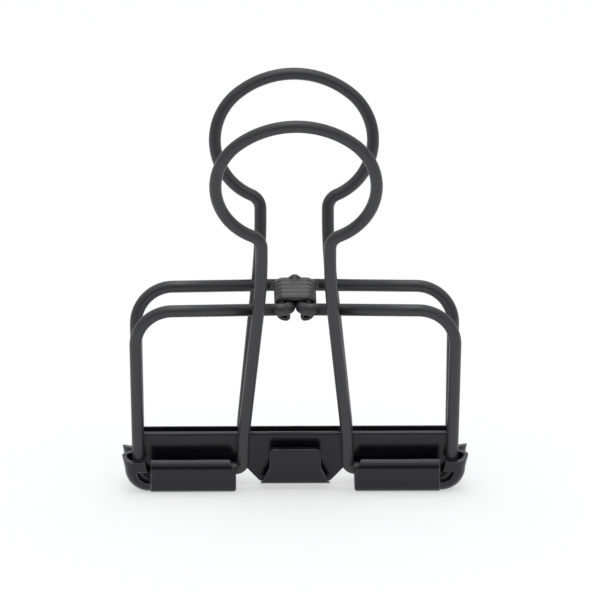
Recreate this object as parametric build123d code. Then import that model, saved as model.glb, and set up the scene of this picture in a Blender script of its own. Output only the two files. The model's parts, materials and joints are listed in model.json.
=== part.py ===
from build123d import *
import math
import os

# Driving dimensions of the whole clip, in millimetres and degrees
jaw_width = 51.0            # across the outsides of the two collars
frame_height = 29.1         # floor to the axis of the top runs
handle_length = 56.7        # hem axis to the middle of the loop's top
lean = 9.0                  # outward lean of each jaw and its frame
wire = 1.8                  # diameter of the spring and handle wire
sheet = 0.65                # thickness of the jaw sheet
jaw_gap = 0.16              # between the two closed lips

# Clearances
hem_clearance = 0.22        # wire to sheet, inside hems and cups
stack_gap = 0.2             # frame foot to handle foot, one above the other
handle_rest_gap = 0.1       # resting handle to the top run behind it
leg_clearance = 0.12        # handle leg to the end of the tab beside it
twist_gap = 0.02            # between the two ends where a run twists
ferrule_clearance = 0.1     # ferrule bore to the wires it binds

# Spring wires
corner_radius = 5.5         # top corners of the frame
foot_bend_radius = 2.2      # bend from leg to foot
leg_splay = 0.45            # how far each leg leans out at the top
run_drop = 0.28             # how far each top run drops from the middle to its corner
foot_inner_end = 10.5       # where the frame foot ends inside the hem
bridge_bend_radius = 1.7    # bend from top run to cross-piece
bridge_stub = 0.95          # straight run between that bend and the arm
pair_gap = 0.02             # between the two cross-pieces

# Jaw web and its notches
web_height = 8.85
web_end_margin = 2.0        # web end to the outside of the collar
web_corner_radius = 1.0
edge_round = 0.4            # rounded top edge of the web
notch_height = 3.5
notch_flat = 0.7            # width of the notch at its top
notch_round = 0.4

# Collars and cups round the legs
collar_flare = 0.4          # how far the rim stands out beyond the collar's foot
collar_play = 0.28          # how far the leg stands inside the collar's axis
cup_bend_radius = 1.9
rim_back = 5.75             # rim height at the web
rim_side = 5.65             # rim height at the outermost place
rim_front = 4.85            # rim height at the front wall
collar_front = 1.5          # length of the collar's front wall

# Hemmed outer tabs
fold_radius = 1.3           # outside radius of the folds
crease_radius = 1.7         # outside of the curl over the handle foot
flap_length = 1.45          # from the crease to the flap's edge
flap_turn = 50.0            # how far the flap turns in
tab_flare = 0.65            # how far the tab leans out from its fold to its crease
tab_end_margin = 4.2        # tab end to the outside of the collar
tab_slant = 0.95            # how far the inner end slants back, up to the flap's edge
tab_slant_start = 3.3       # height where that slant starts
tab_corner_radius = 0.8

# Centre tab
centre_floor = 1.0          # underside of its fold
centre_top = 6.7
centre_space = 1.2          # room between web and tab
centre_fold_radius = 0.85
centre_half_top = 3.75
centre_half_foot = 5.1
centre_waist = 3.7          # height where the sides start to flare
centre_corner_radius = 0.7

# Handles
leg_foot_x = 7.7            # leg axis at the hem
leg_upright = 4.6           # upright stretch above the foot
leg_bend_radius = 30.0      # gentle bend above that stretch
neck_x = 4.98               # leg axis at the neck
neck_straight = 5.9         # upright stretch below the neck
knee_radius = 90.0          # gentle bend below that stretch
knee_share = 0.95           # most of that stretch that the bend may take up
neck_radius = 2.2
loop_half_width = 11.67
loop_side_radius = 8.8
loop_lift = 1.0             # loop's top above the tops of its two side arcs
handle_bend_radius = 1.1
handle_foot_end = 19.5
handle_foot_out = 0.6       # how far the handle foot stands in front of the frame foot

# Ferrule
ferrule_length = 10.2
ferrule_wall = 0.55
band_half = 2.94            # middle to the outside of the side walls
crown_half = 1.95           # half of the flat crown
shoulder_drop = 0.42        # fall of the sloping shoulders
crown_round = 1.0
shoulder_round = 0.7
hook_drop = 2.1             # wire axis to the underside of the hooks
hook_gap = 1.5              # between the two hooks
hook_radius = 1.55          # bend from side wall to hook
hook_round = 0.6            # bend up to the hook's tip
rib_height = 0.15
rib_width = 1.3
rib_pitch = 1.96
rib_count = 5
rib_round = 0.13
pip_radius = 0.75           # small crimp mark at the rear of the crown
pip_height = 0.5            # above the ribs
pip_inset = 0.85            # in from the rear end

# Values worked out from those above
lean_sin = math.sin(math.radians(lean))
lean_cos = math.cos(math.radians(lean))
hem_bore = wire / 2 + hem_clearance
hem_outside = hem_bore + sheet
hem_depth = 2 * hem_outside
centre_depth = centre_space + 2 * sheet
lip_line = jaw_gap / 2 - fold_radius * (lean_sin / lean_cos + 1 / lean_cos - 1)


def up_web(height, depth):
    """Distance up the leaning web to a level, at a depth in front of the web's inner face."""
    return (height + depth * lean_sin) / lean_cos


def side_point(up, depth):
    """Side-view point at a distance up the web and a depth in front of its inner face."""
    return Vector(lip_line + up * lean_sin + depth * lean_cos, up * lean_cos - depth * lean_sin)


foot_up = up_web(hem_outside, hem_outside)
run_up = up_web(frame_height, hem_outside)
handle_foot_up = foot_up + wire + stack_gap
run_out = side_point(run_up, hem_outside).X
handle_depth = hem_outside + handle_foot_out
handle_offset = wire + handle_rest_gap - handle_foot_out
handle_tilt = math.degrees(math.asin(handle_offset / (run_up - handle_foot_up)))
loop_rise = loop_side_radius + loop_lift
bridge_x = (wire + pair_gap) / 2
cut_x = bridge_x + bridge_bend_radius + bridge_stub
collar_x = jaw_width / 2 - collar_flare - hem_outside
leg_x = collar_x - collar_play
cup_x = collar_x - cup_bend_radius
cup_up = foot_up + cup_bend_radius
tab_inner_end = leg_foot_x + wire / 2 + leg_clearance
tab_outer_end = jaw_width / 2 - tab_end_margin
crease_up = handle_foot_up + hem_outside * math.tan(math.radians(flap_turn / 2))
web_up = up_web(web_height, 0)
notch_up = up_web(notch_height, 0)

# Leaning frame of the front jaw: X across, Y up the web, Z out of its front
jaw_frame = Plane(origin=(0, -lip_line, 0), x_dir=(1, 0, 0), z_dir=(0, -lean_cos, -lean_sin))
# Side view of the front jaw: X out to the front, Y up
side_view = Plane(origin=(0, 0, 0), x_dir=(0, -1, 0), z_dir=(-1, 0, 0))
to_rear = Rot(0, 0, 180)


def bend_wire(path):
    """Round wire along a path of lines and arcs."""
    start = Plane(origin=path @ 0, z_dir=path % 0)
    return sweep(start * Circle(wire / 2), path=path)


def both_sides(shape):
    """A shape together with its mirror image across the middle of the clip."""
    return shape + mirror(shape, about=Plane.YZ)


def make_arm():
    """Right front arm: half of a top run, the leg, and the foot turned in along the hem."""
    path = FilletPolyline(
        (cut_x + twist_gap, run_up),
        (leg_x + leg_splay, run_up - run_drop),
        (leg_x, foot_up),
        (foot_inner_end, foot_up),
        radius=[corner_radius, foot_bend_radius],
    )
    return jaw_frame * Pos(0, 0, hem_outside) * bend_wire(path)


def make_bridge():
    """Right cross-piece, which joins the front and rear top runs inside the ferrule."""
    path = FilletPolyline(
        (cut_x, -run_out),
        (bridge_x, -run_out),
        (bridge_x, run_out),
        (cut_x, run_out),
        radius=[bridge_bend_radius, bridge_bend_radius],
    )
    return Pos(0, 0, frame_height) * bend_wire(path)


def make_ferrule():
    """Crimped band: ribs over crown and shoulders, lips hooked up under the wires, and a crimp mark."""
    bore_top = wire / 2 + ferrule_clearance
    crown_top = bore_top + ferrule_wall
    shoulder = crown_top - shoulder_drop
    half_band = FilletPolyline(
        (0, crown_top),
        (crown_half, crown_top),
        (band_half, shoulder),
        (band_half, -hook_drop),
        (hook_gap / 2, -hook_drop),
        (hook_gap / 2, -bore_top),
        radius=[crown_round, shoulder_round, hook_radius, hook_round],
    )
    section = make_face(offset(half_band, ferrule_wall, side=Side.LEFT))
    body = both_sides(extrude(Plane.XZ * section, ferrule_length / 2, both=True))

    arch_outline = FilletPolyline(
        (-band_half, -band_half),
        (-band_half, shoulder),
        (-crown_half, crown_top),
        (crown_half, crown_top),
        (band_half, shoulder),
        (band_half, -band_half),
        radius=[0, shoulder_round, crown_round, crown_round, shoulder_round, 0],
        close=True,
    )
    arch = make_face(arch_outline)
    lower_half = Pos(0, -2 * band_half) * Rectangle(4 * band_half, 4 * band_half)
    rib_section = offset(arch, rib_height) - offset(arch, -ferrule_wall / 2) - lower_half
    rib = extrude(Plane.XZ * rib_section, rib_width / 2, both=True)
    crown = rib.faces().sort_by(Axis.Z)[-1]
    rib = fillet(crown.edges().filter_by(Axis.X), rib_round)
    for index in range(rib_count):
        body += Pos(0, (index - (rib_count - 1) / 2) * rib_pitch, 0) * rib
    dome = Sphere(pip_radius, arc_size1=0, align=(Align.CENTER, Align.CENTER, Align.MIN))
    dome_level = crown_top + rib_height + pip_height - pip_radius
    body += Pos(0, ferrule_length / 2 - pip_inset, dome_level) * dome
    return Pos(0, 0, frame_height) * body


def hem_section(floor, depth, radius, tab_points, tab_radii):
    """Side view of a hem, one sheet thick: down the web, under the fold and up the tab."""
    web_foot = side_point(up_web(floor, 0), 0)
    tab_foot = side_point(up_web(floor, depth), depth)
    outline = FilletPolyline(
        side_point(notch_up, 0), web_foot, tab_foot, *tab_points, radius=[radius, radius, *tab_radii]
    )
    return make_face(offset(outline, sheet, side=Side.LEFT))


def make_outer_tab():
    """Right outer tab, hemmed round the frame foot and, above it, the handle foot."""
    crease = side_point(crease_up, hem_depth + tab_flare)
    turn = math.radians(lean - flap_turn)
    flap_edge = crease + Vector(math.sin(turn), math.cos(turn)) * flap_length
    section = hem_section(0, hem_depth, fold_radius, [crease, flap_edge], [crease_radius])
    hem = extrude(side_view * section, jaw_width, both=True)

    slant_rate = tab_slant / (flap_edge.Y - tab_slant_start)
    outline = FilletPolyline(
        (tab_inner_end, 0),
        (tab_inner_end, tab_slant_start),
        (tab_inner_end + slant_rate * (web_height - tab_slant_start), web_height),
        (tab_outer_end, web_height),
        (tab_outer_end, 0),
        radius=[tab_corner_radius, tab_corner_radius, 0, 0, 0],
        close=True,
    )
    return hem & extrude(Plane.XZ * make_face(outline), jaw_width, both=True)


def make_centre_tab():
    """Folded tab in the middle, with sides that flare out towards its fold."""
    top_up = up_web(centre_top, centre_depth)
    top = side_point(top_up, centre_depth)
    section = hem_section(centre_floor, centre_depth, centre_fold_radius, [top], [])
    hem = extrude(side_view * section, leg_foot_x - notch_flat / 2, both=True)

    fold_up = up_web(centre_floor, centre_depth)
    waist_up = up_web(centre_waist, centre_depth)
    beside = FilletPolyline(
        (centre_half_foot, fold_up),
        (centre_half_top, waist_up),
        (centre_half_top, top_up),
        (0, top_up),
        (0, 2 * top_up),
        (jaw_width, 2 * top_up),
        (jaw_width, -fold_up),
        (centre_half_foot, -fold_up),
        radius=[0, centre_corner_radius, centre_corner_radius, 0, 0, 0, 0, 0],
        close=True,
    )
    cutter = jaw_frame * Pos(0, 0, sheet) * extrude(make_face(beside), centre_depth)
    return hem - both_sides(cutter)


def make_web():
    """Flat leaning web of the jaw, with a rounded top edge."""
    web_end = jaw_width / 2 - web_end_margin
    outline = FilletPolyline(
        (-web_end, foot_up),
        (-web_end, web_up),
        (web_end, web_up),
        (web_end, foot_up),
        radius=[0, web_corner_radius, web_corner_radius, 0],
        close=True,
    )
    web = extrude(make_face(outline), sheet)
    front_edges = web.faces().sort_by(Axis.Z)[-1].edges()
    top_edges = [edge for edge in front_edges if edge.center().Y > web_up - web_corner_radius]
    return fillet(top_edges, edge_round)


def make_collar():
    """Right collar round the leg, and the cup that turns it into the hem below."""
    ring = Circle(hem_outside) - Circle(hem_bore)
    under = Plane(origin=(cup_x, foot_up, hem_outside), x_dir=(0, 0, 1), z_dir=(1, 0, 0))
    half_ring = under * (ring & Pos(0, hem_outside) * Rectangle(hem_depth, hem_depth))
    cup = revolve(half_ring, axis=Axis((cup_x, cup_up, 0), (0, 0, 1)), revolution_arc=90)
    cup += extrude(half_ring, tab_outer_end - cup_x)

    rim_up = up_web(rim_back, 0)
    side_up = up_web(rim_side, hem_outside)
    front_up = up_web(rim_front, hem_depth)
    back_wall = collar_x - cup_x
    around = Plane(origin=(collar_x, cup_up, hem_outside), x_dir=(1, 0, 0), z_dir=(0, 1, 0))
    wall_y = (hem_bore + hem_outside) / 2
    section = ring & Pos(hem_outside, 0) * Rectangle(hem_depth, hem_depth)
    section += Pos(-collar_front / 2, -wall_y) * Rectangle(collar_front, sheet)
    section += Pos(-back_wall / 2, wall_y) * Rectangle(back_wall, sheet)
    flare = Vector(collar_flare, side_up - cup_up, 0)
    collar = extrude(around * section, 2 * flare.length, dir=flare)
    above_rim = make_face(
        Polyline(
            (0, rim_up),
            (hem_outside, side_up),
            (hem_depth, front_up),
            (hem_depth, 2 * rim_up),
            (0, 2 * rim_up),
            close=True,
        )
    )
    rim_view = Plane(origin=(0, 0, 0), x_dir=(0, 0, 1), z_dir=(-1, 0, 0))
    collar -= extrude(rim_view * above_rim, jaw_width, both=True)

    corner = make_face(
        Line((cup_x, cup_up), (collar_x, cup_up))
        + CenterArc((cup_x, cup_up), cup_bend_radius, -90, 90)
        + Line((cup_x, foot_up), (cup_x, cup_up))
    )
    return collar + cup + extrude(corner, sheet)


def make_jaw_plate():
    """Front jaw plate: web, hemmed tabs, centre tab, notches, collars and cups."""
    plate = jaw_frame * (make_web() + both_sides(make_collar()))
    plate += both_sides(make_outer_tab())
    plate += make_centre_tab()
    notch = FilletPolyline(
        (centre_half_foot, -sheet),
        (centre_half_foot, up_web(centre_floor, 0)),
        (leg_foot_x - notch_flat / 2, notch_up),
        (leg_foot_x + notch_flat / 2, notch_up),
        (tab_inner_end, foot_up),
        (tab_inner_end, -sheet),
        radius=[0, 0, notch_round, notch_round, 0, 0],
        close=True,
    )
    cutter = jaw_frame * extrude(make_face(notch), 2 * hem_depth, both=True)
    return plate - both_sides(cutter)


def make_handle():
    """Front handle: feet turned out into the hems, two legs, a neck and a round loop."""
    middle = handle_length - loop_rise
    side_x = loop_half_width - loop_side_radius
    neck_offset = neck_x + neck_radius - side_x
    neck_drop = math.sqrt((loop_side_radius + neck_radius) ** 2 - neck_offset**2)
    neck_up = middle - neck_drop
    neck_angle = math.degrees(math.atan2(neck_drop, neck_offset))
    top_radius = (side_x**2 + loop_rise**2 - loop_side_radius**2) / (2 * (loop_rise - loop_side_radius))
    top_drop = top_radius - loop_rise
    side_angle = math.degrees(math.atan2(top_drop, side_x))
    leg_slant = math.atan2(leg_foot_x - neck_x, neck_up - neck_straight - leg_upright)
    knee_limit = knee_share * neck_straight / math.tan(leg_slant / 2)
    leg = FilletPolyline(
        (handle_foot_end, 0),
        (leg_foot_x, 0),
        (leg_foot_x, leg_upright),
        (neck_x, neck_up - neck_straight),
        (neck_x, neck_up),
        radius=[handle_bend_radius, leg_bend_radius, min(knee_radius, knee_limit)],
    )
    neck = CenterArc((neck_x + neck_radius, neck_up), neck_radius, 180, -neck_angle)
    side = CenterArc((side_x, middle), loop_side_radius, -neck_angle, neck_angle + side_angle)
    top = CenterArc((0, middle - top_drop), top_radius, side_angle, 90 - side_angle)
    half = both_sides(bend_wire(Wire([*leg.edges(), neck.edge(), side.edge(), top.edge()])))
    return jaw_frame * Pos(0, handle_foot_up, handle_depth) * Rot(handle_tilt, 0, 0) * half


arm = make_arm()
other_arm = mirror(arm, about=Plane.YZ)
bridge = make_bridge()
jaw_plate = make_jaw_plate()
handle = make_handle()

nodes = {
    "ferrule": make_ferrule(),
    "left_spring_bridge": mirror(bridge, about=Plane.YZ),
    "right_spring_bridge": bridge,
    "front_left_arm": other_arm,
    "front_right_arm": arm,
    "rear_left_arm": to_rear * arm,
    "rear_right_arm": to_rear * other_arm,
    "front_jaw_plate": jaw_plate,
    "rear_jaw_plate": to_rear * jaw_plate,
    "front_handle": handle,
    "rear_handle": to_rear * handle,
}

os.makedirs("parts", exist_ok=True)
for name, solid in nodes.items():
    export_step(solid, f"parts/{name}.step")
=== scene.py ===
import json
import math

import bmesh
import bpy
import numpy as np
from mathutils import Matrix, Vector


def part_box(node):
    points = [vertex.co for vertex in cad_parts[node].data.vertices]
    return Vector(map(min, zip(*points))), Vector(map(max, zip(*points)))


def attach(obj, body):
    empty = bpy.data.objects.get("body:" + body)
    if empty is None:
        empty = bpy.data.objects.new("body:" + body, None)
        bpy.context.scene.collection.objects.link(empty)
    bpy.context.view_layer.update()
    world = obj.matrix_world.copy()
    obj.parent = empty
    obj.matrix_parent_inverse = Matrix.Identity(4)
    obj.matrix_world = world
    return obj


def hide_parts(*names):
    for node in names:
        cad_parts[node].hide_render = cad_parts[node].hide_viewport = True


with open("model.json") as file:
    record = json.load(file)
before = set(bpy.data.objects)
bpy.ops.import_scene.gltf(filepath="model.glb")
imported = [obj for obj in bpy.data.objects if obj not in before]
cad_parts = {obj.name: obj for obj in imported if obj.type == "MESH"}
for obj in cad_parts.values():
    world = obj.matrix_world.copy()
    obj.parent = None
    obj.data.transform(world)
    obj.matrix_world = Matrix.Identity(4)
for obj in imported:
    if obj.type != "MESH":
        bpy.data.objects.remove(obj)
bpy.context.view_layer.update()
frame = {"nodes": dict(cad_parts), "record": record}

bl_info = {
    "name": "Wire bulldog clip",
    "version": (1, 0, 0),
    "blender": (4, 5, 0),
    "location": "3D View > Sidebar > Clip",
    "description": "Dresses the packed clip with smooth wires, a ribbed ferrule, lacquered jaws and a studio",
    "category": "Object",
}

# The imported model's own box and joint axes, read before anything is added
hinge_at = {joint["name"]: np.array(joint["pos_m"]) for joint in frame["record"]["behaviour"]["joints"]}
across = np.array((1.0, 0.0, 0.0))


def metres(name, description, default):
    """Length property, with enough digits for fine wire."""
    return bpy.props.FloatProperty(name=name, description=description, default=default, unit="LENGTH", precision=5)


def degrees(name, description, default):
    """Angle property whose default is given in degrees."""
    return bpy.props.FloatProperty(
        name=name, description=description, default=math.radians(default), subtype="ANGLE")


def hex_colour(name, description, default):
    """Colour property, written as an sRGB hex value."""
    return bpy.props.StringProperty(name=name, description=f"{description}, sRGB hex", default=default)


class ClipWireSizes(bpy.types.PropertyGroup):
    """Sizes of the spring wires."""

    wire: metres("Wire", "Diameter of the spring and handle wire", 0.0018)
    lean: degrees("Lean", "Outward lean of each jaw and its frame", 9)
    rest_gap: metres("Rest gap", "Resting handle to the top run behind it", 0.0001)
    cut: metres("Twist", "Middle of the clip to where a top run twists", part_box("right_spring_bridge")[1][0])
    twist_gap: metres("Twist gap", "Between the two ends where a run twists", 0.000002)
    leg_place: metres("Leg", "Middle of the clip to a frame leg's axis, at the hem", 0.02305)
    leg_splay: metres("Leg splay", "How far each leg leans out at the top", 0.00045)
    run_drop: metres("Run drop", "Fall of a top run from the middle to its corner", 0.00028)
    foot_level: metres("Foot level", "Height of the frame's feet", 0.00177)
    foot_end: metres("Foot end", "Where the frame's foot ends in the hem", 0.0105)
    corner_radius: metres("Corner radius", "Top corners of the frame", 0.0055)
    foot_radius: metres("Foot bend", "Bend from leg to foot", 0.0022)
    bridge_radius: metres("Bridge bend", "Bend from top run to cross-piece, as tight as it looks", 0.00135)


class ClipHandleSizes(bpy.types.PropertyGroup):
    """Sizes of the folding handles."""

    length: metres("Length", "Hem axis to the middle of the loop's top", 0.0567)
    foot_end: metres("Foot end", "Where the handle's foot ends", 0.0195)
    foot_radius: metres("Foot bend", "Bend from leg to foot", 0.0011)
    leg_foot: metres("Leg at the hem", "Leg axis at the hem", 0.0077)
    leg_upright: metres("Leg upright", "Upright stretch above the foot", 0.0046)
    leg_radius: metres("Leg bend", "Gentle bend above that stretch", 0.03)
    neck: metres("Neck", "Leg axis at the neck", 0.00498)
    neck_straight: metres("Neck straight", "Upright stretch below the neck", 0.0059)
    knee_radius: metres("Knee bend", "Gentle bend below that stretch", 0.09)
    neck_radius: metres("Neck bend", "Bend from leg to loop", 0.0022)
    loop_half: metres("Loop half width", "Middle to the loop's widest place", 0.01167)
    loop_side: metres("Loop sides", "Radius of the loop's side arcs", 0.0088)
    loop_lift: metres("Loop lift", "Loop's top above the tops of its side arcs", 0.001)


class ClipFerruleSizes(bpy.types.PropertyGroup):
    """Sizes of the ribbed ferrule."""

    length: metres("Length", "Length along the cross-pieces", 0.0102)
    wall: metres("Wall", "Thickness of the band", 0.00055)
    clearance: metres("Clearance", "Band to the wires it binds", 0.0001)
    band_half: metres("Half width", "Middle to the outside of the side walls", 0.00294)
    crown_half: metres("Crown", "Half of the flat crown", 0.00195)
    shoulder_drop: metres("Shoulder drop", "Fall of the sloping shoulders", 0.00042)
    crown_round: metres("Crown round", "Bend from crown to shoulder", 0.001)
    shoulder_round: metres("Shoulder round", "Bend from shoulder to side wall", 0.0007)
    hook_drop: metres("Hook drop", "Wire axis to the underside of the hooks", 0.0021)
    hook_gap: metres("Hook gap", "Between the two hooks", 0.0015)
    hook_radius: metres("Hook bend", "Bend from side wall to hook", 0.00155)
    hook_round: metres("Hook tip bend", "Bend up to the hook's tip", 0.0006)
    rim_round: metres("Rim round", "Rounding of the band's two rims", 0.00012)
    rib_height: metres("Rib height", "Rib above its groove", 0.00015)
    rib_width: metres("Rib width", "Width of a rib", 0.0013)
    rib_pitch: metres("Rib pitch", "One rib to the next", 0.00196)
    rib_flank: metres("Rib flank", "Half the width of a rib's sloping side", 0.00013)
    rib_fade: metres("Rib fade", "Length over which a rib runs out on the side wall", 0.0005)
    rib_count: bpy.props.IntProperty(name="Ribs", description="Number of ribs", default=5)
    pip_radius: metres("Crimp mark radius", "Middle of the crimp mark to half-way down its side", 0.00075)
    pip_soft: metres("Crimp mark side", "Half the width of the crimp mark's sloping side", 0.0006)
    pip_height: metres("Crimp mark height", "Crimp mark above the ribs", 0.0005)
    pip_inset: metres("Crimp mark inset", "Crimp mark's middle to the band's rear end", 0.00085)


class ClipLooks(bpy.types.PropertyGroup):
    """Colours, edge softness and the grain of the finishes."""

    wire_colour: hex_colour("Wire colour", "Coating on the wire", "#313133")
    sheet_colour: hex_colour("Sheet colour", "Lacquer on the jaws", "#14141C")
    ferrule_colour: hex_colour("Ferrule colour", "Coating on the ferrule", "#212124")
    # Pale colour mixed onto edges: wear of the film, and a painted highlight on the rims
    edge_wear_and_highlight_colour: hex_colour("Rubbed edge colour", "Thin film on worn edges", "#8A8A8E")
    edge_round: metres("Edge round", "Soft edge of the pressed sheet", 0.00026)
    band_round: metres("Band edge round", "Soft edge of the ferrule's ribs and rims", 0.0001)
    fine_peel: metres("Fine peel", "Orange peel of the satin coating on wires and ferrule", 0.0004)
    broad_peel: metres("Broad peel", "Orange peel of the lacquer on the jaws", 0.0009)
    peel_depth: metres("Peel depth", "Depth of the orange peel", 0.00002)
    patch_width: metres("Patch width", "Width of the patches where hands have dulled the film", 0.0042)


class ClipStage(bpy.types.PropertyGroup):
    """Camera, floor and light."""

    azimuth: degrees("Azimuth", "Camera's turn round the clip", -0.7)
    elevation: degrees("Elevation", "Camera's height angle", 16.8)
    distance: metres("Distance", "Camera to the clip", 1.2)
    aim_height: metres("Aim height", "Height that the camera looks at", 0.02936)
    view_width: metres("View width", "Width of the picture at the clip", 0.08675)
    floor_colour: hex_colour("Floor colour", "Pale floor", "#FCFDFF")
    floor_reach: metres("Floor reach", "Middle of the floor to its edges", 3.0)
    fibre: metres("Card fibre", "Spacing of the fibres in the floor's card", 0.002)
    floor_glow: bpy.props.FloatProperty(
        name="Floor glow", description="Share of plain white in the floor that the camera sees", default=0.55)
    room_front: bpy.props.FloatProperty(
        name="Front wall", description="Brightness of the room in front of the clip", default=0.4)
    room_rear: bpy.props.FloatProperty(
        name="Rear wall", description="Brightness of the room behind the clip", default=0.72)
    ceiling: bpy.props.FloatProperty(
        name="Ceiling", description="How much brighter the ceiling is than the walls", default=0.42)
    dim_share: bpy.props.FloatProperty(
        name="Dim side", description="Share of that brightness that is left right behind the camera", default=0.04)
    dim_height: degrees("Dim height", "Height angle of the dim side's middle", 9)
    dim_full: degrees("Dim middle", "Reach of the dim side at its dimmest", 10)
    dim_end: degrees("Dim reach", "Reach at which the dim side is gone", 26)
    box_width: metres("Soft box width", "Overhead soft box, across the clip", 0.3)
    box_length: metres("Soft box length", "Overhead soft box, from front to rear", 0.9)
    box_height: metres("Soft box height", "Overhead soft box above the floor", 0.8)
    box_forward: metres("Soft box forward", "Overhead soft box in front of the clip's middle", 0.02)
    box_power: bpy.props.FloatProperty(
        name="Soft box power", description="Power of the overhead soft box", default=1.65, unit="POWER")


def linear(code):
    """sRGB hex colour as linear values."""
    values = np.array([int(code[i:i + 2], 16) for i in (1, 3, 5)]) / 255
    values = np.where(values <= 0.04045, values / 12.92, ((values + 0.055) / 1.055) ** 2.4)
    return (*values.tolist(), 1.0)


def unit(vector):
    """Vectors of length one, along the last axis."""
    return vector / np.linalg.norm(vector, axis=-1, keepdims=True)


def smooth_step(value):
    """Smooth rise from 0 to 1: three squares less two cubes of the value held between 0 and 1."""
    value = np.clip(value, 0, 1)
    return value * value * (3 - 2 * value)


def rounded_path(corners, radii, straight=2, bend=12):
    """Flat path through corners: straight runs joined by arcs tangent to both sides of each inner corner.

    With u and v the unit directions to the neighbours and h half the angle between them, an arc of radius r has its
    centre at r / sin h along u + v, and touches the sides at r / tan h.
    """
    corners = np.asarray(corners, dtype=float)
    counts = np.broadcast_to(straight, len(corners) - 1)
    stops = [corners[0]]
    arcs = []
    for before, corner, after, radius in zip(corners, corners[1:], corners[2:], radii):
        u, v = unit(before - corner), unit(after - corner)
        half = math.acos(np.dot(u, v)) / 2
        centre = corner + unit(u + v) * radius / math.sin(half)
        start, stop = corner + u * radius / math.tan(half), corner + v * radius / math.tan(half)
        sweep = math.pi - 2 * half
        part = np.linspace(0, 1, bend)[:, None]
        arc = np.sin((1 - part) * sweep) * (start - centre) + np.sin(part * sweep) * (stop - centre)
        arcs.append(centre + arc / math.sin(sweep))
        stops += [start, stop]
    stops.append(corners[-1])
    pieces = [np.linspace(stops[0], stops[1], counts[0])]
    for arc, start, stop, count in zip(arcs, stops[2::2], stops[3::2], counts[1:]):
        pieces += [arc[1:], np.linspace(start, stop, count)[1:]]
    return np.concatenate(pieces)


def circle_arc(centre, radius, start, sweep, count):
    """Flat arc: centre plus radius times cosine and sine of an angle that runs from start through sweep."""
    angle = start + sweep * np.linspace(0, 1, count)
    return np.asarray(centre) + radius * np.stack([np.cos(angle), np.sin(angle)], axis=-1)


def grid_mesh(name, points):
    """Mesh of a grid of points whose second direction runs round: quads, with a flat face on each open end."""
    rows, around = points.shape[:2]
    index = np.arange(rows * around).reshape(rows, around)
    following = np.roll(index, -1, axis=1)
    quads = np.stack([index[:-1], following[:-1], following[1:], index[1:]], axis=-1).reshape(-1, 4)
    faces = quads.tolist() + [index[0, ::-1].tolist(), index[-1].tolist()]
    mesh = bpy.data.meshes.new(name)
    mesh.from_pydata(points.reshape(-1, 3).tolist(), [], faces)
    mesh.polygons.foreach_set("use_smooth", np.arange(len(faces)) < len(quads))
    mesh.update()
    return mesh


def wire_tube(name, path, side, diameter, around=40):
    """Round wire: circles of the wire's diameter carried along a path that lies square to the side direction."""
    along = unit(np.gradient(path, axis=0))
    along[0], along[-1] = unit(path[1] - path[0]), unit(path[-1] - path[-2])
    outward = np.cross(along, side)
    angle = np.linspace(0, 2 * math.pi, around, endpoint=False)[None, :, None]
    rings = np.cos(angle) * side + np.sin(angle) * outward[:, None, :]
    return grid_mesh(name, path[:, None, :] + diameter / 2 * rings)


def add_piece(name, mesh, body, node, material):
    """Object for a finished mesh: it rides on a body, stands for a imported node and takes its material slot."""
    piece = bpy.data.objects.new(name, mesh)
    bpy.context.scene.collection.objects.link(piece)
    mesh.materials.append(material)
    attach(piece, body)
    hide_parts(node)
    return piece


def add_node(tree, kind, values=None, links=None, **settings):
    """Shader node with its settings, input values and links."""
    node = tree.nodes.new(kind)
    for setting, value in settings.items():
        setattr(node, setting, value)
    for socket, value in (values or {}).items():
        node.inputs[socket].default_value = value
    for socket, source in (links or {}).items():
        tree.links.new(source, node.inputs[socket])
    return node


def new_material(name):
    """Empty node material and its tree."""
    material = bpy.data.materials.new(name)
    material.use_nodes = True
    material.node_tree.nodes.clear()
    return material, material.node_tree


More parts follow.
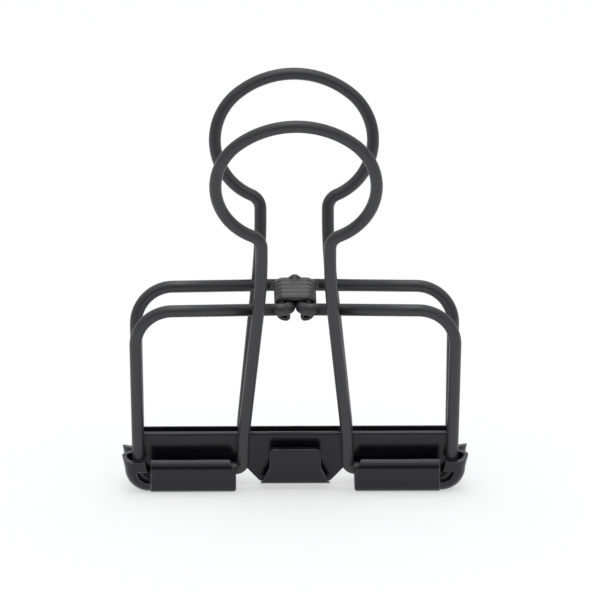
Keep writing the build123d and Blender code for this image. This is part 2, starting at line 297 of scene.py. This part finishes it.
def coating(name, looks, colour, roughness, ior, peel_size, edge_round):
    """Black film on steel: soft edges, a fine orange peel, patchy gloss, and a paler colour in patches along edges,
    partly wear of the film and partly a painted highlight.
    """
    material, tree = new_material(name)
    place = add_node(tree, "ShaderNodeTexCoord").outputs["Object"]
    # Pressed and coated edges are round; their corner is drawn by bending the normal
    soft = add_node(tree, "ShaderNodeBevel", {"Radius": edge_round}, samples=8)
    # Orange peel of the cured film; real peel is finer, and is drawn this coarse so that it shows
    peel = add_node(
        tree, "ShaderNodeTexNoise", {"Scale": 1 / peel_size, "Detail": 2.0, "Roughness": 0.45}, {"Vector": place})
    bump = add_node(
        tree, "ShaderNodeBump", {"Strength": 0.3, "Distance": looks.peel_depth},
        {"Height": peel.outputs["Fac"], "Normal": soft.outputs["Normal"]})
    # Patches a few millimetres wide, a little duller where hands have rubbed
    patch = add_node(
        tree, "ShaderNodeTexNoise", {"Scale": 1 / looks.patch_width, "Detail": 4.0, "Roughness": 0.6},
        {"Vector": place})
    gloss = add_node(
        tree, "ShaderNodeMapRange",
        {"From Min": 0.3, "From Max": 0.7, "To Min": roughness * 0.86, "To Max": roughness * 1.16},
        {"Value": patch.outputs["Fac"]})
    # Edges, where a rounded normal leaves the true one, take a paler colour in patches: partly wear of the film,
    # partly a painted highlight on rims and ribs
    true = add_node(tree, "ShaderNodeNewGeometry")
    alike = add_node(
        tree, "ShaderNodeVectorMath", None, {0: soft.outputs["Normal"], 1: true.outputs["Normal"]},
        operation="DOT_PRODUCT")
    edge = add_node(
        tree, "ShaderNodeMapRange", {"From Min": 0.99, "From Max": 0.82}, {"Value": alike.outputs["Value"]})
    patchiness = add_node(
        tree, "ShaderNodeMapRange", {"From Min": 0.4, "From Max": 0.62, "To Min": 0.15, "To Max": 1.0},
        {"Value": patch.outputs["Fac"]})
    wear_and_highlight = add_node(
        tree, "ShaderNodeMath", None, {0: edge.outputs["Result"], 1: patchiness.outputs["Result"]}, operation="MULTIPLY")
    # Paler colour mixed onto the edges: film wear and a painted highlight
    shade = add_node(
        tree, "ShaderNodeMix", {"A": linear(colour), "B": linear(looks.edge_wear_and_highlight_colour)}, {"Factor": wear_and_highlight.outputs["Value"]},
        data_type="RGBA")
    film = add_node(
        tree, "ShaderNodeBsdfPrincipled", {"IOR": ior},
        {"Base Color": shade.outputs["Result"], "Roughness": gloss.outputs["Result"],
         "Normal": bump.outputs["Normal"]})
    add_node(tree, "ShaderNodeOutputMaterial", None, {"Surface": film.outputs["BSDF"]})
    return material


def coated_wire_material(looks):
    """Electro-coated spring steel wire: satin, even black that hides the metal. All wires share it.

    A wire is round and has no edge to soften; its ends meet at the twist, where a soft edge would draw a line.
    """
    name = "Black_electrocoated_spring_wire"
    return bpy.data.materials.get(name) or coating(
        name, looks, looks.wire_colour, roughness=0.36, ior=1.5, peel_size=looks.fine_peel, edge_round=0.0)


def lacquered_sheet_material(looks):
    """Lacquered pressed steel: smooth, glossy black that mirrors the tabs in the web."""
    return coating("Black_lacquered_pressed_steel", looks, looks.sheet_colour, roughness=0.2, ior=1.45,
                   peel_size=looks.broad_peel, edge_round=looks.edge_round)


def ferrule_material(looks):
    """Electro-coated crimped band: satin black, a little paler on the rims and ribs, partly from wear and partly as a
    painted highlight.
    """
    return coating("Black_electrocoated_crimped_steel", looks, looks.ferrule_colour, roughness=0.34, ior=1.5,
                   peel_size=looks.fine_peel, edge_round=looks.band_round)


class CLIP_OT_frame_wires(bpy.types.Operator):
    """Builds the four sprung arms and the two cross-pieces as smooth round wire"""

    bl_idname = "clip.frame_wires"
    bl_label = "Frame wires"

    def execute(self, context):
        sizes = context.scene.clip_wires
        material = coated_wire_material(context.scene.clip_looks)
        run = hinge_at["front_jaw_open"]
        out = abs(run[1])
        leg_length = (run[2] - sizes.foot_level) / math.cos(sizes.lean)
        arm = rounded_path(
            [(sizes.cut + sizes.twist_gap, 0), (sizes.leg_place + sizes.leg_splay, -sizes.run_drop),
             (sizes.leg_place, -leg_length), (sizes.foot_end, -leg_length)],
            [sizes.corner_radius, sizes.foot_radius], bend=32)
        for jaw, facing in (("front", -1.0), ("rear", 1.0)):
            up = np.array((0.0, facing * math.sin(sizes.lean), math.cos(sizes.lean)))
            start = np.array((0.0, facing * out, run[2]))
            for hand, sign in (("right", 1.0), ("left", -1.0)):
                path = start + sign * arm[:, :1] * across + arm[:, 1:] * up
                node = f"{jaw}_{hand}_arm"
                mesh = wire_tube(f"{node}_wire", path, unit(np.cross(across, up)), sizes.wire)
                add_piece(f"{node}_wire", mesh, f"{jaw}_jaw", node, material)

        # The ferrule squeezes the two cross-pieces together
        bridge_place = sizes.wire / 2
        bridge = rounded_path(
            [(sizes.cut, -out), (bridge_place, -out), (bridge_place, out), (sizes.cut, out)],
            [sizes.bridge_radius, sizes.bridge_radius], bend=28)
        for node, sign in (("right_spring_bridge", 1.0), ("left_spring_bridge", -1.0)):
            path = np.column_stack([sign * bridge[:, 0], bridge[:, 1], np.full(len(bridge), run[2])])
            mesh = wire_tube(f"{node}_wire", path, np.array((0.0, 0.0, 1.0)), sizes.wire)
            add_piece(f"{node}_wire", mesh, "spine", node, material)
        return {"FINISHED"}


class CLIP_OT_handles(bpy.types.Operator):
    """Builds the two folding handles as smooth round wire with a loop"""

    bl_idname = "clip.handles"
    bl_label = "Handles"

    def execute(self, context):
        wires = context.scene.clip_wires
        material = coated_wire_material(context.scene.clip_looks)
        hinge, run = hinge_at["front_handle_fold"], hinge_at["front_jaw_open"]
        up = np.array((0.0, -math.sin(wires.lean), math.cos(wires.lean)))
        front = np.array((0.0, -math.cos(wires.lean), -math.sin(wires.lean)))
        offset = wires.wire + wires.rest_gap + np.dot(run - hinge, front)
        handle_lean = wires.lean + math.asin(offset / np.dot(run - hinge, up))
        half = self.half_path(context.scene.clip_handles)
        whole = np.concatenate([half * (-1, 1), half[-2::-1]])
        for node, facing in (("front_handle", -1.0), ("rear_handle", 1.0)):
            rise = np.array((0.0, facing * math.sin(handle_lean), math.cos(handle_lean)))
            start = np.array((0.0, facing * abs(hinge[1]), hinge[2]))
            path = start + whole[:, :1] * across + whole[:, 1:] * rise
            mesh = wire_tube(f"{node}_wire", path, unit(np.cross(across, rise)), wires.wire)
            add_piece(f"{node}_wire", mesh, node, node, material)
        return {"FINISHED"}

    @staticmethod
    def half_path(sizes):
        """Right half of a handle, from the foot's end to the middle of the loop's top.

        The neck arc touches the leg and the loop's side arc from outside, so their centres are the sum of both radii
        apart; the top arc passes through the loop's highest point and touches the side arc from inside.
        """
        rise = sizes.loop_side + sizes.loop_lift
        middle = sizes.length - rise
        side = sizes.loop_half - sizes.loop_side
        neck_offset = sizes.neck + sizes.neck_radius - side
        neck_drop = math.sqrt((sizes.loop_side + sizes.neck_radius) ** 2 - neck_offset**2)
        neck_level = middle - neck_drop
        neck_angle = math.atan2(neck_drop, neck_offset)
        top_radius = (side**2 + rise**2 - sizes.loop_side**2) / (2 * sizes.loop_lift)
        top_drop = top_radius - rise
        side_angle = math.atan2(top_drop, side)
        leg = rounded_path(
            [(sizes.foot_end, 0), (sizes.leg_foot, 0), (sizes.leg_foot, sizes.leg_upright),
             (sizes.neck, neck_level - sizes.neck_straight), (sizes.neck, neck_level)],
            [sizes.foot_radius, sizes.leg_radius, sizes.knee_radius], bend=24)
        neck = circle_arc((sizes.neck + sizes.neck_radius, neck_level), sizes.neck_radius, math.pi, -neck_angle, 24)
        turn = circle_arc((side, middle), sizes.loop_side, -neck_angle, neck_angle + side_angle, 64)
        top = circle_arc((0, middle - top_drop), top_radius, side_angle, math.pi / 2 - side_angle, 32)
        return np.concatenate([leg, neck[1:], turn[1:], top[1:]])


class CLIP_OT_ferrule(bpy.types.Operator):
    """Builds the crimped ferrule with its ribs, hooked lips and crimp mark"""

    bl_idname = "clip.ferrule"
    bl_label = "Ferrule"

    def execute(self, context):
        sizes = context.scene.clip_ferrule
        level = hinge_at["front_jaw_open"][2]
        inner, outer = self.band_lines(sizes, context.scene.clip_wires.wire)
        mesh = grid_mesh("ferrule_band", self.band_surface(sizes, inner, outer, level))
        add_piece("ferrule_band", mesh, "spine", "ferrule",
                  ferrule_material(context.scene.clip_looks))
        return {"FINISHED"}

    @staticmethod
    def band_lines(sizes, wire):
        """Inner and outer line of the band's section, from the tip of the left hook over the crown to the right one.

        The inner line lies one wall inside: with m and n the inward normals of the two sides that meet at a corner,
        the corner moves by (m + n) / (1 + m.n) walls, and each bend's radius shrinks by a wall.
        """
        bore = wire / 2 + sizes.clearance
        crown = bore + sizes.wall
        tip = sizes.hook_gap / 2
        right = np.array([
            (sizes.crown_half, crown), (sizes.band_half, crown - sizes.shoulder_drop),
            (sizes.band_half, -sizes.hook_drop), (tip, -sizes.hook_drop), (tip, -bore)])
        corners = np.concatenate([right[::-1] * (-1, 1), right])
        half_radii = [sizes.crown_round, sizes.shoulder_round, sizes.hook_radius, sizes.hook_round]
        radii = np.array(half_radii[::-1] + half_radii)
        along = unit(np.diff(corners, axis=0))
        inward = np.stack([along[:, 1], -along[:, 0]], axis=-1)
        meet = inward[:-1] + inward[1:]
        meet = meet / (meet * inward[1:]).sum(axis=-1, keepdims=True)
        move = np.concatenate([inward[:1], meet, inward[-1:]]) * sizes.wall
        # Many points on the side walls, where ribs fade out, and across the crown with its crimp mark
        counts = [3, 3, 15, 3, 49, 3, 15, 3, 3]
        inner = rounded_path(corners + move, radii - sizes.wall, straight=counts, bend=12)
        outer = rounded_path(corners, radii, straight=counts, bend=12)
        return inner, outer

    @staticmethod
    def band_surface(sizes, inner, outer, level):
        """Band as a grid: along its section, and round its wall.

        Round the wall a point has a share between the inner and outer line and a place along the band. On the outer
        face each rib rises by a smooth step at both sides, fading out below the shoulders, and the crimp mark is a
        round rise: a smooth step of the distance from its middle.
        """
        half = sizes.length / 2
        ribs = (np.arange(sizes.rib_count) - (sizes.rib_count - 1) / 2) * sizes.rib_pitch
        flanks = sizes.rib_width / 2 + sizes.rib_flank * np.linspace(-1, 1, 7)
        face_end = half - sizes.rim_round
        pip_place = half - sizes.pip_inset
        place = np.unique(np.concatenate([
            np.linspace(-face_end, face_end, 41), (ribs[:, None] + flanks).ravel(), (ribs[:, None] - flanks).ravel(),
            pip_place + (sizes.pip_radius + sizes.pip_soft) * np.linspace(-1, 1, 25)]).clip(-face_end, face_end))
        turn = np.linspace(0, math.pi / 2, 6)[1:]
        rim = face_end + sizes.rim_round * np.sin(turn)
        rim_share = 1 - sizes.rim_round / sizes.wall * (1 - np.cos(turn))
        back = np.linspace(face_end, -face_end, 12)[1:-1]
        along = np.concatenate([place, rim, rim[::-1], [face_end], back, [-face_end], -rim, -rim[::-1]])
        share = np.concatenate([
            np.ones(len(place)), rim_share, 1 - rim_share[::-1], np.zeros(len(back) + 2), 1 - rim_share,
            rim_share[::-1]])

        from_rib = np.abs(along[:, None] - ribs).min(axis=1)
        rib = smooth_step((sizes.rib_width / 2 + sizes.rib_flank - from_rib) / (2 * sizes.rib_flank))
        fade = smooth_step(outer[:, 1] / sizes.rib_fade)
        offset = fade[:, None] * rib[None, :] * sizes.rib_height * (share >= 1)
        wide = inner[:, None, :] + (outer - inner)[:, None, :] * share[None, :, None]
        wide = wide + unit(outer - inner)[:, None, :] * offset[:, :, None]
        reach = np.hypot(wide[:, :, 0], along[None, :] - pip_place)
        rise = smooth_step((sizes.pip_radius + sizes.pip_soft - reach) / (2 * sizes.pip_soft))
        crown = (outer[:, 1:] > 0) & (share[None, :] > 0.5)
        lift = np.where(crown, np.clip(rise * (sizes.pip_height + sizes.rib_height) - offset, 0, None), 0)
        height = level + wide[:, :, 1] + lift
        points = np.stack([wide[:, :, 0], np.broadcast_to(along, height.shape), height], axis=-1)
        return points[:, ::-1]


class CLIP_OT_jaws(bpy.types.Operator):
    """Gives the two pressed jaws soft edges and lacquer"""

    bl_idname = "clip.jaws"
    bl_label = "Jaws"

    def execute(self, context):
        looks = context.scene.clip_looks
        material = lacquered_sheet_material(looks)
        for jaw in ("front", "rear"):
            node = f"{jaw}_jaw_plate"
            mesh = self.merged_copy(frame["nodes"][node], f"{node}_sheet")
            piece = add_piece(f"{node}_sheet", mesh, f"{jaw}_jaw", node, material)
            level = piece.modifiers.new("Flat faces stay flat", "WEIGHTED_NORMAL")
            level.keep_sharp = True
        return {"FINISHED"}

    @staticmethod
    def merged_copy(source, name):
        """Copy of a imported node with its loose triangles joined, flat areas made one face, and shaded smooth."""
        work = bmesh.new()
        work.from_mesh(source.data)
        bmesh.ops.remove_doubles(work, verts=work.verts, dist=2e-6)
        bmesh.ops.dissolve_limit(work, angle_limit=math.radians(0.5), verts=work.verts, edges=work.edges)
        for face in work.faces:
            face.smooth = True
        mesh = bpy.data.meshes.new(name)
        work.to_mesh(mesh)
        work.free()
        mesh.set_sharp_from_angle(angle=math.radians(32))
        return mesh


class CLIP_OT_studio(bpy.types.Operator):
    """Sets the pale floor, the soft light and the camera"""

    bl_idname = "clip.studio"
    bl_label = "Studio"

    def execute(self, context):
        scene = context.scene
        scene.view_settings.view_transform = "Standard"
        self.lay_floor(scene)
        self.light_room(scene)
        self.set_camera(scene)
        return {"FINISHED"}

    @staticmethod
    def lay_floor(scene):
        """Wide pale floor of matt card, partly washed out to white where it is seen, so that shadows stay faint.

        To the camera the white is the room's white underside, so that handles folded below the floor show through.
        """
        edge = scene.clip_stage.floor_reach
        mesh = bpy.data.meshes.new("studio_floor")
        mesh.from_pydata([(-edge, -edge, 0), (edge, -edge, 0), (edge, edge, 0), (-edge, edge, 0)], [], [(0, 1, 2, 3)])
        floor = bpy.data.objects.new("studio_floor", mesh)
        scene.collection.objects.link(floor)
        material, tree = new_material("Pale_matt_card")
        place = add_node(tree, "ShaderNodeTexCoord").outputs["Object"]
        # Fibres of the card, drawn coarser than real ones so that they show
        grain = add_node(
            tree, "ShaderNodeTexNoise", {"Scale": 1 / scene.clip_stage.fibre, "Detail": 2.0}, {"Vector": place})
        bump = add_node(
            tree, "ShaderNodeBump", {"Strength": 0.02, "Distance": 0.0001}, {"Height": grain.outputs["Fac"]})
        card = add_node(
            tree, "ShaderNodeBsdfPrincipled",
            {"Base Color": linear(scene.clip_stage.floor_colour), "Roughness": 0.9, "Specular IOR Level": 0.0},
            {"Normal": bump.outputs["Normal"]})
        # Seen by the camera or in a reflection, the card is overexposed; as a bounce of light it stays plain card
        path = add_node(tree, "ShaderNodeLightPath").outputs
        mirrored = add_node(
            tree, "ShaderNodeMath", None, {0: path["Is Camera Ray"], 1: path["Is Glossy Ray"]}, operation="MAXIMUM")
        seen = add_node(
            tree, "ShaderNodeMath", None, {0: mirrored.outputs["Value"], 1: path["Is Transmission Ray"]},
            operation="MAXIMUM")
        share = add_node(
            tree, "ShaderNodeMath", {1: scene.clip_stage.floor_glow}, {0: seen.outputs["Value"]}, operation="MULTIPLY")
        white = add_node(tree, "ShaderNodeEmission", {"Color": (1.0, 1.0, 1.0, 1.0), "Strength": 1.0})
        clear = add_node(tree, "ShaderNodeBsdfTransparent")
        wash = add_node(
            tree, "ShaderNodeMixShader", None,
            {"Fac": path["Is Camera Ray"], 1: white.outputs["Emission"], 2: clear.outputs["BSDF"]})
        washed = add_node(
            tree, "ShaderNodeMixShader", None,
            {"Fac": share.outputs["Value"], 1: card.outputs["BSDF"], 2: wash.outputs["Shader"]})
        add_node(tree, "ShaderNodeOutputMaterial", None, {"Surface": washed.outputs["Shader"]})
        mesh.materials.append(material)

    @staticmethod
    def light_room(scene):
        """Pale room with a dim side behind the camera, a white underside, and a soft box overhead."""
        stage = scene.clip_stage
        world = bpy.data.worlds.new("studio_room")
        world.use_nodes = True
        tree = world.node_tree
        tree.nodes.clear()
        direction = add_node(tree, "ShaderNodeTexCoord").outputs["Generated"]
        parts = add_node(tree, "ShaderNodeSeparateXYZ", None, {"Vector": direction})
        walls = add_node(
            tree, "ShaderNodeMapRange",
            {"From Min": -1.0, "From Max": 1.0, "To Min": stage.room_front, "To Max": stage.room_rear},
            {"Value": parts.outputs["Y"]})
        ceiling = add_node(
            tree, "ShaderNodeMapRange", {"From Min": 0.35, "From Max": 0.75, "To Min": 0.0, "To Max": stage.ceiling},
            {"Value": parts.outputs["Z"]})
        pale = add_node(
            tree, "ShaderNodeMath", None, {0: walls.outputs["Result"], 1: ceiling.outputs["Result"]}, operation="ADD")
        # The dim side is round: dimmest near its middle, and gone further out
        dim_middle = (0.0, -math.cos(stage.dim_height), math.sin(stage.dim_height))
        facing = add_node(
            tree, "ShaderNodeVectorMath", {1: dim_middle}, {0: direction}, operation="DOT_PRODUCT")
        dim = add_node(
            tree, "ShaderNodeMapRange",
            {"From Min": math.cos(stage.dim_end), "From Max": math.cos(stage.dim_full), "To Min": 1.0,
             "To Max": stage.dim_share},
            {"Value": facing.outputs["Value"]})
        glow = add_node(
            tree, "ShaderNodeMath", None, {0: pale.outputs["Value"], 1: dim.outputs["Result"]}, operation="MULTIPLY")
        # White underside, which the floor keeps from the standing clip
        under = add_node(
            tree, "ShaderNodeMapRange", {"From Min": -0.01, "From Max": 0.0, "To Min": 1.0, "To Max": 0.0},
            {"Value": parts.outputs["Z"]})
        whole = add_node(
            tree, "ShaderNodeMath", None, {0: glow.outputs["Value"], 1: under.outputs["Result"]}, operation="MAXIMUM")
        room = add_node(
            tree, "ShaderNodeBackground", {"Color": (1.0, 1.0, 1.0, 1.0)}, {"Strength": whole.outputs["Value"]})
        add_node(tree, "ShaderNodeOutputWorld", None, {"Surface": room.outputs["Background"]})
        scene.world = world
        box = bpy.data.lights.new("overhead_soft_box", "AREA")
        box.shape = "RECTANGLE"
        box.size = stage.box_width
        box.size_y = stage.box_length
        box.energy = stage.box_power
        lamp = bpy.data.objects.new("overhead_soft_box", box)
        lamp.location = (0.0, -stage.box_forward, stage.box_height)
        scene.collection.objects.link(lamp)

    @staticmethod
    def set_camera(scene):
        """Long lens at the photograph's angle; the lens makes the picture as wide as the view at the clip."""
        stage = scene.clip_stage
        camera = bpy.data.cameras.new("studio_camera")
        camera.sensor_width = 36.0
        camera.lens = camera.sensor_width * stage.distance / stage.view_width
        camera.clip_end = 20.0
        viewer = bpy.data.objects.new("studio_camera", camera)
        turn, rise = stage.azimuth, stage.elevation
        back = np.array((math.sin(turn) * math.cos(rise), -math.cos(turn) * math.cos(rise), math.sin(rise)))
        viewer.location = np.array((0.0, 0.0, stage.aim_height)) + back * stage.distance
        viewer.rotation_euler = (math.pi / 2 - rise, 0.0, turn)
        scene.collection.objects.link(viewer)
        scene.camera = viewer


class CLIP_PT_panel(bpy.types.Panel):
    """Lists the steps that dress the clip"""

    bl_idname = "CLIP_PT_panel"
    bl_label = "Wire bulldog clip"
    bl_space_type = "VIEW_3D"
    bl_region_type = "UI"
    bl_category = "Clip"

    def draw(self, context):
        for step in steps:
            self.layout.operator(step.bl_idname)


groups = {
    "clip_wires": ClipWireSizes,
    "clip_handles": ClipHandleSizes,
    "clip_ferrule": ClipFerruleSizes,
    "clip_looks": ClipLooks,
    "clip_stage": ClipStage,
}
steps = (CLIP_OT_frame_wires, CLIP_OT_handles, CLIP_OT_ferrule, CLIP_OT_jaws, CLIP_OT_studio)


def register():
    for group in groups.values():
        bpy.utils.register_class(group)
    for name, group in groups.items():
        setattr(bpy.types.Scene, name, bpy.props.PointerProperty(type=group))
    for step in steps:
        bpy.utils.register_class(step)
    bpy.utils.register_class(CLIP_PT_panel)


def unregister():
    bpy.utils.unregister_class(CLIP_PT_panel)
    for step in reversed(steps):
        bpy.utils.unregister_class(step)
    for name in groups:
        delattr(bpy.types.Scene, name)
    for group in reversed(groups.values()):
        bpy.utils.unregister_class(group)


def main():
    register()
    bpy.ops.clip.frame_wires()
    bpy.ops.clip.handles()
    bpy.ops.clip.ferrule()
    bpy.ops.clip.jaws()
    bpy.ops.clip.studio()


if __name__ == "__main__":
    main()
